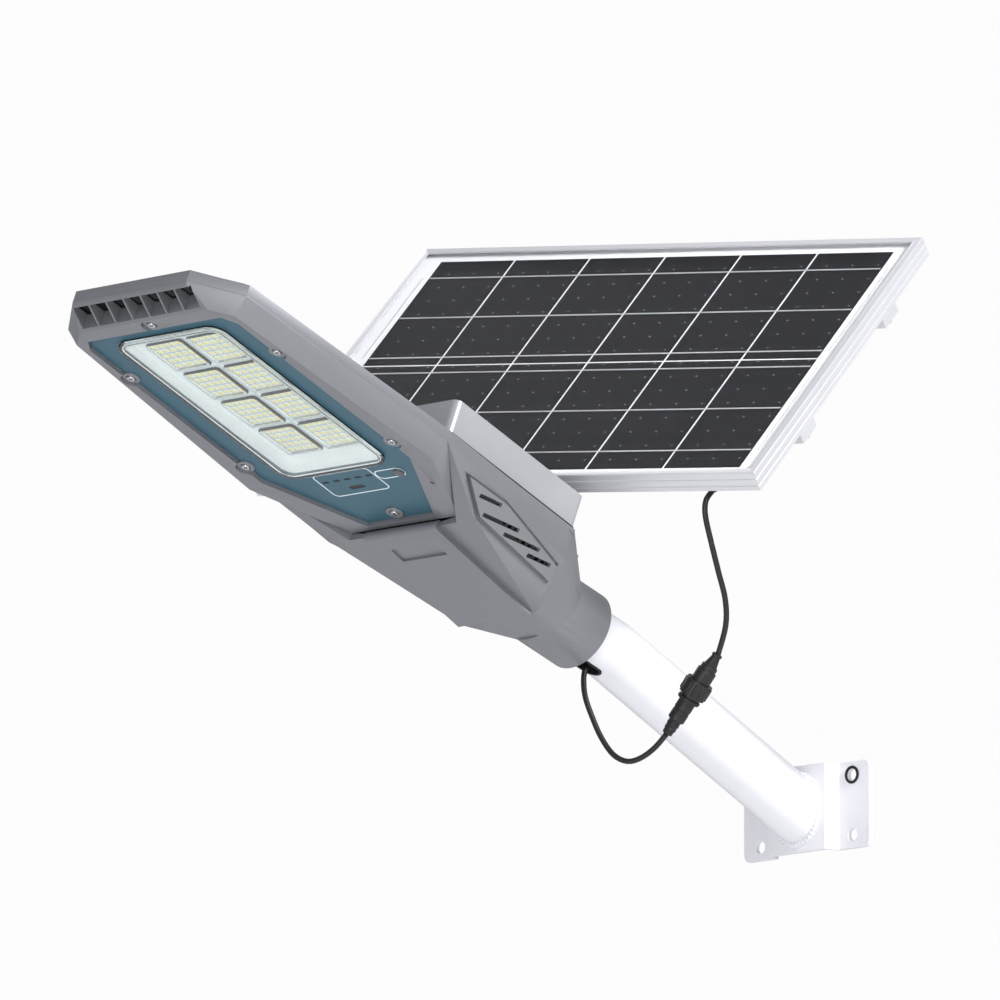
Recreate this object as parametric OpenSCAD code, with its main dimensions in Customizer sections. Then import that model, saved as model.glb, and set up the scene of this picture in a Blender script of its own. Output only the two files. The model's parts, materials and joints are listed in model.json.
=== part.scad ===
// Solar street lamp: a lamp head on a wall arm, with an adjustable solar panel above its neck.
// Millimetres. The origin is the middle of the wall plate's back face. The wall is the plane
// y = 0, the arm reaches out along -y, and +z is up.

/* [Wall plate] */
// Width of the hat-shaped plate
plate_w = 136; // [120:1:160]
// Height of the plate
plate_h = 70; // [64:1:90]
// Thickness of the plate's sheet
plate_t = 4; // [3:0.5:6]
// How far the raised middle stands off the wings
plate_rise = 12; // [8:1:18]
// Flat left beside the arm on the raised middle
raised_margin = 4; // [3:0.5:6]
// Distance of the anchor holes from the middle, across
hole_x = 50; // [45:1:54]
// Distance of the anchor holes from the middle, up and down
hole_z = 24; // [20:1:26]
// Anchor hole diameter
hole_d = 10; // [8:0.5:11]

/* [Arm] */
// Outside diameter of the arm tube
tube_d = 50; // [48:0.5:52]
// Wall of the arm tube
tube_wall = 2.5; // [2:0.5:3.5]
// Length of the arm from the plate to its elbow
arm_len = 240; // [180:5:400]
// Upward angle of the arm
arm_pitch = 25.5; // [15:0.5:35]
// Upward angle of the tube beyond its elbow
neck_pitch = 19; // [17:0.5:21]

/* [Lamp head] */
// Upward angle of the lamp head
head_pitch = 23; // [21:0.5:25]
// Length from the collar's end to the tip
head_len = 537; // [532:1:640]
// Width at the waist, where the head is widest
head_w = 220; // [212:1:250]
// Width at the shoulders, just behind the tip
shoulder_w = 194; // [190:1:210]
// Width of the tip's front edge
tip_w = 124; // [118:1:140]
// Width of the recess that holds the lamp plate
recess_w = 160; // [156:1:164]
// Number of rows of light modules, along the head
module_rows = 4; // [3:1:4]
// Distance between the middles of light modules
module_pitch = 44; // [42:0.5:46]
// Light chips along one side of a module
chips = 5; // [3:1:5]

/* [Battery box] */
// Width of the battery lid
lid_w = 132; // [128:1:134]
// Height of the battery lid
lid_h = 28; // [16:1:34]
// Diameter of a battery cell
cell_d = 32; // [26:0.5:33]
// Length of a battery cell
cell_len = 70; // [60:1:71]

/* [Solar panel] */
// Width of the panel's frame
panel_w = 470; // [440:1:560]
// Height of the panel's frame
panel_h = 318; // [300:1:400]
// Depth of the panel's frame
frame_t = 17; // [17:1:20]
// Columns of solar cells
cell_cols = 6; // [4:1:6]
// Turn of the panel to the right of straight ahead
pan_angle = 12.5; // [0:0.5:20]
// Angle between the panel and the lamp head's deck
tilt_angle = 67; // [60:0.5:75]

/* [Cord] */
// Diameter of the panel's cord
cord_d = 4.5; // [4:0.1:6]

/* [Hidden] */
$fn = 48;
eps = 0.01;

// Wall plate and arm
plate_front = plate_rise + plate_t;
raised_w = tube_d + 2 * raised_margin;
slope_w = 5;
plate_corner = 6;
ring_wall = 2.2;
ring_t = 1.2;
bead_w = 2.5;
tube_r = tube_d / 2;
bore_r = tube_r - tube_wall;
neck_out = 35;
neck_in = 84;
collar_wall = 8;
collar_gap = 0.08;
collar_r = tube_r + collar_wall;
collar_len = 52;
grub_r = 3;
grub_places = [14, 38];
slot_w = 16;
slot_len = 30;
elbow_y = -plate_front - arm_len * cos(arm_pitch);
elbow_z = arm_len * sin(arm_pitch);
head_y = elbow_y - neck_out * cos(neck_pitch);
head_z = elbow_z + neck_out * sin(neck_pitch);

// Lamp head: x is across, -y runs to the tip and z is the deck's normal
half_w = head_w / 2;
half_tip = tip_w / 2;
half_shoulder = shoulder_w / 2;
shoulder_y = -(head_len - 32);
recess_front_y = -(head_len - 35);
waist_y = -282;
waist_in_y = -204;
waist_in_w = 58;
rim_z = -21.5;
rim_in = 11;
split_z = -7;
brim_z = 2;
roof_z = 16;
deck_z = 28;
shell = 3;
moat_t = 1.8;
half_recess = recess_w / 2;
plate_top = -16;
plate_low = -18;
light_mid_y = -(head_len - 149);
light_w = 110;
light_len = 204;
light_r = 12;
chip_w = 3.2;
recess_back_y = waist_in_y - 6;
ear_x = half_recess - 0.5;
ear_front_y = light_mid_y - 57;
ear_back_y = light_mid_y + 79;
screw_places = [
    [0, recess_front_y - 4], [-ear_x, ear_front_y], [ear_x, ear_front_y],
    [-ear_x, ear_back_y], [ear_x, ear_back_y], [0, recess_back_y - 8]
];
ear_r = 7.5;
vent_count = 7;
vent_pitch = 18.5;
vent_rib = 1.8;
vent_len = 16;
vent_y = -head_len + 11.5;
tip_slope = 22;
tip_edge = 2;
button_at = [50, -268];
chin_w = 80;
chin_z = -38;
chin_front_z = -28;
chin_back_y = -84;
chin_lean = atan2(chin_front_z - chin_z, chin_back_y - waist_in_y);
board_w = chin_w - 22;
board_y0 = waist_in_y + 10;
board_y1 = chin_back_y - 16;
board_z = chin_z + 6;
board_t = 1.6;
slot_row_y = -270;
slot_row_x = -28;
slot_step = 11.7;

// Battery box
cell_space = 1;
box_back_y = -93;
box_len = 2 * (cell_len + cell_space) + 12;
box_front_y = box_back_y - box_len;
gasket_t = 2;
flange_w = 2;
flange_t = 3.5;
box_mid_y = (box_front_y + box_back_y) / 2;
cell_z = 8;
holder_z = cell_z - cell_d / 2 - 4;
cell_columns = floor((lid_w - 24) / (cell_d + cell_space));
holder_w = cell_columns * (cell_d + cell_space) + 9;

// Panel bracket: the swivel stands on the neck and the hinge line crosses its axis
swivel_y = -73;
pad_z = tube_r + 9;
foot_t = 5;
foot_w = 62;
foot_len = 36;
foot_hole_x = foot_w / 2 - 6;
foot_hole_y = foot_len / 2 - 7;
turn_z = pad_z + foot_t + 0.1;
disc_t = 5;
disc_r = 19;
pivot_r = 5;
cheek_w = 11;
hinge_z = pad_z + 32;
knuckle_r = 12;
knuckle_w = 26;
cheek_gap = 0.4;
cheek_t = 5.5;
pin_r = 4;
pin_gap = 0.05;

// Panel, in the hinge's own frame: x along the hinge line, y up the panel, z out of its front
panel_x = -29;
panel_y = 2;
panel_front = 34;
panel_back = panel_front - frame_t;
lip_t = 1.5;
glass_t = 3;
ribbon_t = 0.2;
ribbon_w = 1.4;
ribbon_shares = [0.073, 0.454, 0.835];
solar_t = 0.4;
sheet_t = 0.5;
wall_f = 1.8;
side_margin = 20.5;
end_margin = 13;
cell_gap = 2;
glass_z = panel_front - lip_t - glass_t;
ribbon_z = glass_z - ribbon_t;
solar_z = ribbon_z - solar_t;
sheet_z = solar_z - sheet_t;
cell_pitch = (panel_w - 2 * side_margin) / cell_cols;
row_pitch = (panel_h - 2 * end_margin) / 2;
rail_low_y = 90;
rail_high_y = 245;
rail_w = 24;
rail_z = 7;
spine_back = -5;
box_x = 156;
box_y0 = 26;
box_y1 = 70;
box_w = 60;
gland_z = 11.5;
gland_r = 5;
gland_y = 10;

// Cord route, from the panel's gland to the connector and on to the hole in the arm
cord_r = cord_d / 2;
upper_route = [[154, -277, 206], [154.5, -285, 197], [153, -284, 185], [150.2, -274.4, 165.6]];
lower_route = [[150, -274, 165], [146, -262, 145], [142, -250, 125], [135, -242, 106], [122.5, -237.5, 85]];
lamp_route = [
    [76.5, -248.2, 25.5], [66, -250, 16], [54, -253, 9], [43, -257, 7], [32, -261, 13],
    [22, -264, 27], [14, -266, 44], [7, -267, 62], [1, -262, 79], [0, -257, 89]
];
link_mid = [103, -242, 60];
link_lean = 38;
link_turn = 13;
link_r = 8;
link_gap = 0.35;

function unit(v) = v / norm(v);
function bend(a, b, c, d, t) =
    0.5 * (2 * b + (c - a) * t + (2 * a - 5 * b + 4 * c - d) * t * t + (3 * b - a - 3 * c + d) * t * t * t);
function smooth_route(p, k) = [
    for (i = [0 : len(p) - 2]) for (j = [0 : k - 1])
        bend(p[max(i - 1, 0)], p[i], p[i + 1], p[min(i + 2, len(p) - 1)], j / k),
    p[len(p) - 1]
];
function heading(p, i) = unit(p[min(i + 1, len(p) - 1)] - p[max(i - 1, 0)]);
function ring(centre, along, r, sides) =
    let (a = unit(cross(along, [0.2, -1, 0.1])), b = cross(along, a))
    [for (s = [0 : sides - 1]) centre + r * (cos(360 * s / sides) * a + sin(360 * s / sides) * b)];

// A tube swept along a route of points
module swept_tube(route, r, k = 2, sides = 8) {
    p = smooth_route(route, k);
    n = len(p);
    points = [for (i = [0 : n - 1]) each ring(p[i], heading(p, i), r, sides)];
    walls = [for (i = [0 : n - 2]) for (s = [0 : sides - 1])
        [i * sides + s, i * sides + (s + 1) % sides, (i + 1) * sides + (s + 1) % sides, (i + 1) * sides + s]];
    start = [for (s = [sides - 1 : -1 : 0]) s];
    finish = [for (s = [0 : sides - 1]) (n - 1) * sides + s];
    polyhedron(points, concat([start], walls, [finish]));
}

module on_arm() {
    translate([0, -plate_front, 0]) rotate([90 - arm_pitch, 0, 0]) children();
}

module on_neck() {
    translate([0, elbow_y, elbow_z]) rotate([90 - neck_pitch, 0, 0]) children();
}

module on_head() {
    translate([0, head_y, head_z]) rotate([-head_pitch, 0, 0]) children();
}

module on_swivel() {
    on_head() translate([0, swivel_y, 0]) rotate([0, 0, pan_angle]) children();
}

module on_hinge() {
    on_swivel() translate([0, 0, hinge_z]) rotate([tilt_angle, 0, 0]) children();
}

module on_link() {
    translate(link_mid) rotate([0, link_lean, link_turn]) children();
}

module box_at(x0, x1, y0, y1, z0, z1) {
    translate([x0, y0, z0]) cube([x1 - x0, y1 - y0, z1 - z0]);
}

module round_rect(w, l, r) {
    union() {
        square([w - 2 * r, l], center = true);
        square([w, l - 2 * r], center = true);
        for (x = [-1, 1], y = [-1, 1]) translate([x * (w / 2 - r), y * (l / 2 - r)]) circle(r);
    }
}

module slab(z0, z1) {
    translate([0, 0, z0]) linear_extrude(z1 - z0) children();
}

// A screw with a domed head and a cross recess, head down
module cross_screw(head_r, head_h, shank_r, shank_len) {
    difference() {
        union() {
            translate([0, 0, -head_h]) cylinder(r1 = head_r - 0.7, r2 = head_r, h = head_h);
            translate([0, 0, -eps]) cylinder(r = shank_r, h = shank_len);
        }
        for (a = [0, 90]) rotate([0, 0, a])
            box_at(-head_r * 0.55, head_r * 0.55, -0.45, 0.45, -head_h - 1, -head_h + 1.1);
    }
}

// A screw with a round head and a hexagon socket, head up
module cap_screw(head_r, head_h, shank_r, shank_len) {
    difference() {
        union() {
            cylinder(r = head_r, h = head_h);
            translate([0, 0, -shank_len]) cylinder(r = shank_r, h = shank_len + eps);
        }
        translate([0, 0, head_h - 2]) cylinder(r = head_r * 0.5, h = 3, $fn = 6);
    }
}

// ---- Wall plate and arm

module wall_plate() {
    half = plate_w / 2;
    flat = raised_w / 2;
    foot = flat + slope_w;
    color("white") difference() {
        intersection() {
            translate([0, 0, -plate_h / 2]) linear_extrude(plate_h) polygon([
                [-half, 0], [-foot, 0], [-flat, -plate_rise], [flat, -plate_rise], [foot, 0], [half, 0],
                [half, -plate_t], [foot + 2, -plate_t], [flat + 2, -plate_front], [-flat - 2, -plate_front],
                [-foot - 2, -plate_t], [-half, -plate_t]
            ]);
            rotate([90, 0, 0]) slab(-1, plate_front + 1) round_rect(plate_w, plate_h, plate_corner);
        }
        for (x = [-1, 1], z = [-1, 1]) {
            translate([x * hole_x, 1, z * hole_z]) rotate([90, 0, 0]) cylinder(r = hole_d / 2, h = plate_t + 2);
        }
    }
}

module anchor_ring() {
    color("dimgray") translate([hole_x, -plate_t, hole_z]) rotate([90, 0, 0]) difference() {
        cylinder(r = hole_d / 2 + ring_wall, h = ring_t);
        translate([0, 0, -1]) cylinder(r = hole_d / 2, h = 4);
    }
}

// The plane through the elbow that halves the bend, with z along the tube
module on_mitre() {
    translate([0, elbow_y, elbow_z]) rotate([90 - (arm_pitch + neck_pitch) / 2, 0, 0]) children();
}

module tube_solid(r) {
    difference() {
        on_arm() translate([0, 0, -tube_d]) cylinder(r = r, h = arm_len + 2 * tube_d);
        on_mitre() box_at(-tube_d, tube_d, -tube_d, tube_d, 0, 3 * tube_d);
    }
    difference() {
        on_neck() translate([0, 0, -tube_d]) cylinder(r = r, h = neck_out + neck_in + tube_d);
        on_mitre() box_at(-tube_d, tube_d, -tube_d, tube_d, -3 * tube_d, 0);
    }
}

module cable_slot(w, len, z0, z1) {
    on_neck() rotate([90, 0, 0]) translate([0, neck_out - slot_len / 2 - 1, 0])
        slab(z0, z1) round_rect(w, len, w / 2 - eps);
}

module arm_tube() {
    color("white") difference() {
        tube_solid(tube_r);
        tube_solid(bore_r);
        on_neck() translate([0, 0, neck_out + neck_in - 1]) cylinder(r = bore_r, h = 3);
        box_at(-tube_d, tube_d, -plate_front, tube_d, -tube_d * 2, tube_d * 2);
        cable_slot(slot_w, slot_len, 10, tube_r + 5);
    }
}

module weld_bead() {
    color("white") intersection() {
        box_at(-tube_d, tube_d, -plate_front - bead_w, -plate_front, -tube_d, tube_d);
        on_arm() difference() {
            translate([0, 0, -tube_d]) cylinder(r = tube_r + bead_w, h = tube_d * 2);
            translate([0, 0, -tube_d - 1]) cylinder(r = tube_r, h = tube_d * 2 + 2);
        }
    }
}

// Rubber lining of the cable slot, closed above the cord
module cable_bung() {
    color("black") difference() {
        cable_slot(slot_w, slot_len, bore_r - 6, tube_r - 0.6);
        cable_slot(slot_w - 4, slot_len - 4, bore_r - 3, tube_r + 1);
    }
}

// ---- Lamp head

module head_outline(inset = 0) {
    polygon([
        [-half_tip + inset * 0.4, -head_len + inset], [half_tip - inset * 0.4, -head_len + inset],
        [half_shoulder - inset, shoulder_y + inset * 0.4], [half_w - inset, waist_y],
        [waist_in_w, waist_in_y], [-waist_in_w, waist_in_y],
        [-half_w + inset, waist_y], [-half_shoulder + inset, shoulder_y + inset * 0.4]
    ]);
}

module roof_outline(inset) {
    polygon([
        [-half_tip + 18 + inset, -head_len + 26 + inset], [half_tip - 18 - inset, -head_len + 26 + inset],
        [half_shoulder - 25 - inset, shoulder_y + 14 + inset], [half_w - 25 - inset, -250],
        [-half_w + 25 + inset, -250], [-half_shoulder + 25 + inset, shoulder_y + 14 + inset]
    ]);
}

// The tapering body between the flat head and the collar, or its hollow when inset is above zero
module tail_body(inset) {
    hull() {
        box_at(-half_w + inset * 2, half_w - inset * 2, waist_y, waist_y + 2, split_z, brim_z - inset);
        if (inset == 0) box_at(-waist_in_w, waist_in_w, waist_in_y, waist_in_y + 1, rim_z, split_z);
        box_at(-chin_w / 2 + inset, chin_w / 2 - inset, waist_in_y + inset, waist_in_y + inset + 1,
            chin_front_z + inset, 0);
        box_at(-chin_w / 2 + inset, chin_w / 2 - inset, chin_back_y - inset * 2 - 1, chin_back_y - inset * 2,
            chin_z + inset, 0);
        if (inset == 0) for (s = [-1, 1]) on_tail_side(s) box_at(cheek_x - 2, cheek_x, cheek_y, cheek_y + 2, -10, 0);
        box_at(-lid_w / 2 + inset, lid_w / 2 - inset, box_front_y + inset, box_back_y - inset,
            brim_z, deck_z + inset);
        if (inset == 0) translate([0, -50, 0]) rotate([-90, 0, 0]) cylinder(r = collar_r, h = 12, $fn = 32);
    }
}

// Middle of the side faces of the tail, found from three of its corners
tail_a = [half_w, waist_y + 2, split_z];
tail_b = [lid_w / 2, box_back_y, brim_z];
tail_c = [chin_w / 2, chin_back_y, chin_z];
tail_n = unit(cross(tail_c - tail_a, tail_b - tail_a));
tail_out = tail_n[0] > 0 ? tail_n : -tail_n;
grille_at = 0.30 * tail_a + 0.36 * tail_b + 0.34 * tail_c;
// Lowest front corner of each side face, in the face's own frame
cheek_x = 14.5;
cheek_y = -62;

module on_tail_side(side) {
    mirror([side < 0 ? 1 : 0, 0, 0]) translate(grille_at)
        rotate([0, acos(tail_out[2]), atan2(tail_out[1], tail_out[0])]) children();
}

module grille_outline() {
    polygon([[-3, -98], [-11, -45], [-9.5, 47], [3, 52], [11.5, -58]]);
}

// Each slot's middle and length
grille_slots = [[-3.3, -62, 28], [2, -36, 46], [-0.5, -3, 46], [-1.5, 26, 30]];

module screen_outline() {
    polygon([[-2.5, -84], [-8, -45], [-6.5, 42], [1, 46], [8.5, -56]]);
}

module grille_openings() {
    for (p = grille_slots) translate([p[0], p[1]]) rotate([0, 0, 16.7]) square([3.4, p[2]], center = true);
}

module lamp_housing() {
    color("dimgray") difference() {
        union() {
            on_head() slab(split_z, brim_z) head_outline();
            on_head() hull() {
                slab(brim_z - 1, brim_z) head_outline(1);
                slab(roof_z - 1, roof_z) roof_outline(0);
            }
            on_head() difference() {
                tail_body(0);
                slab(2 * chin_z, split_z) head_outline();
            }
            on_head() translate([0, swivel_y, 0])
                box_at(-foot_w / 2 - 1, foot_w / 2 + 1, -foot_len / 2, foot_len / 2 + 3, 10, pad_z);
            on_neck() translate([0, 0, neck_out]) cylinder(r = collar_r, h = collar_len);
            on_head() slab(deck_z - flange_t, deck_z) box_plan(2 * flange_w);
        }
        on_head() hull() {
            slab(split_z - 1, brim_z) head_outline(shell + 1);
            slab(roof_z - shell - 1, roof_z - shell) roof_outline(2);
        }
        on_head() difference() {
            tail_body(shell);
            for (y = [box_front_y + 6, box_back_y - 14]) box_at(-half_w, half_w, y, y + 8, 2 * chin_z, holder_z);
        }
        on_chin() box_at(-board_w / 2 - 1, board_w / 2 + 1, board_y0 - 2, board_y1 + 2, chin_z - 5, -20);
        on_chin() box_at(-chin_w / 2, chin_w / 2, waist_in_y - 9, chin_back_y - 2.9, 2 * chin_z, chin_z);
        on_head() box_at(-half_w, half_w, waist_y, box_back_y + 3, deck_z, 2 * deck_z);
        on_neck() translate([0, 0, neck_out - 1])
            cylinder(r = tube_r + collar_gap, h = neck_in + 2);
        for (s = [-1, 1]) on_head() on_tail_side(s) {
            slab(-9, 2) screen_outline();
            slab(-moat_t, 1) difference() {
                polygon([[-3.4, -104], [-13.2, -45.3], [-12, 49.5], [5, 54.9], [14, -58.6]]);
                grille_outline();
            }
        }
        at_grubs() translate([0, 0, tube_r - 2]) cylinder(r = grub_r + 0.05, h = collar_wall + 5);
        on_head() translate([0, swivel_y, pad_z - 14]) at_foot_screws() cylinder(r = 2.4, h = 20);
        on_head() at_lid_screws() translate([0, 0, 2]) cylinder(r = 2, h = 40);
    }
}

module lamp_bezel() {
    color("gray") on_head() difference() {
        hull() {
            slab(rim_z, rim_z + 1) head_outline(rim_in);
            slab(split_z - 1, split_z) head_outline();
        }
        slab(rim_z - 1, plate_top) lamp_plate_outline(0.4);
        slab(plate_top - 1, split_z + 1) translate([0, light_mid_y]) round_rect(light_w + 24, light_len + 18, 8);
        for (i = [0 : vent_count - 1])
            translate([(i - (vent_count - 1) / 2) * vent_pitch, vent_y, 0])
                slab(rim_z - 1, split_z + 1) square([vent_pitch - vent_rib, vent_len], center = true);
        translate([0, -head_len, split_z - tip_edge]) rotate([atan2(rim_z - split_z + tip_edge, tip_slope), 0, 0])
            box_at(-head_w, head_w, -tip_slope, 2 * tip_slope, -tip_slope, 0);
        for (p = screw_places) translate([p[0], p[1], plate_top - 1]) cylinder(r = 1.9, h = 7);
        translate([button_at[0], button_at[1], plate_top - 1]) cylinder(r = 7, h = split_z - plate_top + 3);
        translate([72, -251, rim_z - 1]) cylinder(r = 2, h = 8);
        box_at(-holder_w / 2 - 1, holder_w / 2 + 1, box_front_y, waist_in_y + 1, holder_z - 1, split_z + 1);
    }
}

module lamp_plate_outline(grow = 0) {
    g = grow;
    union() {
        polygon([
            [-half_recess + 8 - g, recess_front_y - g], [half_recess - 8 + g, recess_front_y - g],
            [half_recess + g, recess_front_y + 12 - g], [half_recess + g, waist_y - 6],
            [36 + g, recess_back_y + g], [-36 - g, recess_back_y + g],
            [-half_recess - g, waist_y - 6], [-half_recess - g, recess_front_y + 12 - g]
        ]);
        for (p = screw_places) translate(p) circle(ear_r + g);
    }
}

module lamp_plate() {
    color("steelblue") on_head() difference() {
        slab(plate_low, plate_top) lamp_plate_outline(0);
        slab(plate_low - 1, plate_top + 1) translate([0, light_mid_y]) round_rect(light_w, light_len, light_r);
        for (p = screw_places) translate([p[0], p[1], plate_low - 1]) cylinder(r = 2.1, h = 5);
        translate([button_at[0], button_at[1], plate_low - 1]) cylinder(r = 4.8, h = 5);
        status_windows(plate_low - 1, plate_top + 1);
    }
}

// The status windows: five short ones in a row and a long one behind them
module status_windows(z0, z1, grow = 0) {
    for (i = [0 : 4]) translate([slot_row_x + i * slot_step, slot_row_y, 0])
        slab(z0, z1) round_rect(7 + grow, 2.6 + grow, 1.2);
    translate([slot_row_x + 2 * slot_step, slot_row_y + 12, 0])
        slab(z0, z1) round_rect(16 + grow, 4.4 + grow, 2);
}

module reflector_tray() {
    color("white") on_head() difference() {
        slab(plate_top, -3) translate([0, light_mid_y]) round_rect(light_w + 12, light_len + 12, 10);
        slab(plate_top - 1, -5) translate([0, light_mid_y]) round_rect(light_w, light_len, light_r);
    }
}

module at_modules() {
    for (x = [-0.5, 0.5], i = [0 : module_rows - 1])
        translate([x * module_pitch, light_mid_y + (i - (module_rows - 1) / 2) * module_pitch, 0]) children();
}

module module_boards() {
    half = module_pitch / 2 - 2;
    color("whitesmoke") on_head() at_modules() box_at(-half, half, -half, half, -6.6, -5);
}

module light_chips() {
    step = (module_pitch - 9) / chips;
    color("gold") on_head() at_modules() for (i = [0 : chips - 1], j = [0 : chips - 1])
        translate([(i - (chips - 1) / 2) * step, (j - (chips - 1) / 2) * step, -7.4])
            translate([-chip_w / 2, -chip_w / 2, 0]) cube([chip_w, chip_w, 0.8]);
}

module module_lenses() {
    color("lightcyan") on_head() at_modules() difference() {
        slab(-10.6, -6.6) round_rect(module_pitch - 4.4, module_pitch - 4.4, 3);
        slab(-7.6, -5) round_rect(module_pitch - 9, module_pitch - 9, 2);
    }
}

module lens_cover() {
    color("azure") on_head() translate([0, light_mid_y, 0]) difference() {
        union() {
            slab(-21.5, -19) round_rect(light_w + 4, light_len + 4, light_r + 2);
            slab(-19 - eps, -16.5) round_rect(light_w - 0.6, light_len - 0.6, light_r - 0.3);
        }
        slab(-19.5, -10) round_rect(light_w - 5, light_len - 5, light_r - 2.5);
    }
}

module lens_seal() {
    color("black") on_head() translate([0, light_mid_y, 0]) difference() {
        slab(-19, plate_low) round_rect(light_w + 3, light_len + 3, light_r + 1.5);
        slab(-20, plate_low + 1) round_rect(light_w - 0.6, light_len - 0.6, light_r - 0.3);
    }
}

module lamp_screws() {
    color("silver") on_head() for (p = screw_places) translate([p[0], p[1], plate_low])
        cross_screw(3.7, 2.2, 1.9, 4.8);
}

module status_lenses() {
    color("black") on_head() status_windows(plate_low + 0.3, plate_top);
}

module power_button() {
    color("dimgray") on_head() translate([button_at[0], button_at[1], 0]) {
        translate([0, 0, -20]) cylinder(r = 4.5, h = 4.1);
        translate([0, 0, plate_top]) cylinder(r = 6.2, h = 1.2);
    }
}

module power_switch() {
    color("black") on_head() translate([button_at[0], button_at[1], 0])
        box_at(-9, 9, -9, 9, split_z, split_z + 5);
}

module tip_screen() {
    half = half_tip - 3;
    color("black") on_head() difference() {
        box_at(-half, half, vent_y - vent_len / 2 + 1.5, vent_y + vent_len / 2 + 3.5, split_z, split_z + 1.2);
        for (i = [1 : 2 * vent_count - 2])
            translate([(i - vent_count + 0.5) * vent_pitch / 2, vent_y + 1, 0])
                slab(split_z - 1, split_z + 3) square([vent_pitch / 2 - 2.5, vent_len - 5], center = true);
    }
}

// The chin's own frame: level under its back edge and leaning up towards its front
module on_chin() {
    on_head() translate([0, chin_back_y, chin_z]) rotate([-chin_lean, 0, 0])
        translate([0, -chin_back_y, -chin_z]) children();
}

module chin_cover() {
    half = chin_w / 2 - 1;
    color("gainsboro") on_chin() difference() {
        union() {
            box_at(-half, half, waist_in_y + 1, chin_back_y - 3, chin_z - 4, chin_z);
            translate([-half, waist_in_y + 0.5, chin_z + 0.5]) rotate([0, 90, 0]) cylinder(r = 4.5, h = 2 * half);
        }
        box_at(-24, 24, waist_in_y + 14, waist_in_y + 30, chin_z - 6, chin_z - 2);
        box_at(-half - 1, half + 1, waist_in_y - 0.6, waist_in_y + 20, chin_z, chin_z + 20);
    }
    color("gainsboro") on_chin() for (x = [-1, 1], y = [-1, 1])
        translate([x * (board_w / 2 - 5), (board_y0 + board_y1) / 2 + y * 42, chin_z])
            cylinder(r = 3, h = board_z - chin_z);
}

module control_board() {
    color("darkgreen") on_chin() union() {
        box_at(-board_w / 2, board_w / 2, board_y0, board_y1, board_z, board_z + board_t);
        translate([0, board_y0, board_z + board_t - eps]) {
            box_at(-20, -6, 4, 18, 0, 8.5);
            box_at(4, 24, 6, 16, 0, 7.5);
            for (x = [-14, 0, 14]) translate([x, 44, 0]) cylinder(r = 4, h = 9);
            box_at(-22, 22, 66, 82, 0, 3.5);
        }
    }
}

module side_grilles() {
    color("gray") on_head() for (s = [-1, 1]) on_tail_side(s) difference() {
        slab(0, 3) grille_outline();
        slab(-1, 4) grille_openings();
    }
}

module vent_screens() {
    color("black") on_head() for (s = [-1, 1]) on_tail_side(s) difference() {
        slab(-1.2, 0) screen_outline();
        for (i = [0 : 9]) translate([-2, -38 + i * 8]) slab(-3, 1) square([5, 4], center = true);
    }
}

// ---- Battery box

module box_plan(grow = 0) {
    translate([0, box_mid_y]) round_rect(lid_w + grow, box_len + grow, 6);
}

module at_lid_screws() {
    for (x = [-1, 1], y = [-1, 1])
        translate([x * (lid_w / 2 - 9), box_mid_y + y * (box_len / 2 - 9), 0]) children();
}

module battery_gasket() {
    color("black") on_head() difference() {
        slab(deck_z, deck_z + gasket_t) box_plan(flange_w);
        slab(deck_z - 1, deck_z + gasket_t + 1) box_plan(-8);
        at_lid_screws() cylinder(r = 2.2, h = 60);
    }
}

module battery_lid() {
    z0 = deck_z + gasket_t;
    color("lightgray") on_head() difference() {
        slab(z0, z0 + lid_h) box_plan(0);
        difference() {
            slab(z0 - 1, z0 + lid_h - 2.5) box_plan(-6);
            at_lid_screws() cylinder(r = 6, h = 80);
        }
        at_lid_screws() cylinder(r = 2.2, h = 90);
    }
}

module lid_screws() {
    color("silver") on_head() at_lid_screws() translate([0, 0, deck_z + gasket_t + lid_h])
        cap_screw(3.8, 2.6, 2, lid_h + gasket_t + 12);
}

module at_cells() {
    for (i = [0 : cell_columns - 1], k = [-1, 1])
        translate([(i - (cell_columns - 1) / 2) * (cell_d + cell_space),
            box_mid_y + k * (cell_len + cell_space) / 2, cell_z]) rotate([90, 0, 0]) children();
}

module battery_holder() {
    color("darkslategray") on_head() difference() {
        box_at(-holder_w / 2, holder_w / 2, box_front_y + 4, box_back_y - 4, holder_z, 2);
        at_cells() translate([0, 0, -cell_len]) cylinder(r = cell_d / 2 + 0.3, h = cell_len * 2);
    }
}

module battery_cells() {
    color("royalblue") on_head() at_cells() {
        translate([0, 0, -cell_len / 2]) cylinder(r = cell_d / 2, h = cell_len);
    }
}

// Screws without heads, sunk in the top of the collar
module at_grubs() {
    for (z = grub_places) on_neck() translate([0, 0, neck_out + z]) rotate([-90, 0, 0]) children();
}

module collar_screws() {
    color("silver") at_grubs() translate([0, 0, tube_r]) difference() {
        cylinder(r = grub_r, h = collar_wall - 0.6);
        translate([0, 0, collar_wall - 3]) cylinder(r = grub_r * 0.5, h = 4, $fn = 6);
    }
}

// ---- Swivel and tilting hinge

module at_foot_screws() {
    for (x = [-1, 1], y = [-1, 1]) translate([x * foot_hole_x, y * foot_hole_y, 0]) children();
}

module swivel_foot() {
    color("gray") on_head() translate([0, swivel_y, pad_z]) {
        difference() {
            slab(0, foot_t) round_rect(foot_w, foot_len, 5);
            at_foot_screws() translate([0, 0, -1]) cylinder(r = 2.6, h = 10);
        }
        translate([0, 0, foot_t - eps]) cylinder(r = pivot_r, h = 14);
    }
}

module foot_screws() {
    color("silver") on_head() translate([0, swivel_y, pad_z + foot_t]) at_foot_screws()
        cap_screw(4.2, 3, 2.4, 16);
}

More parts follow.
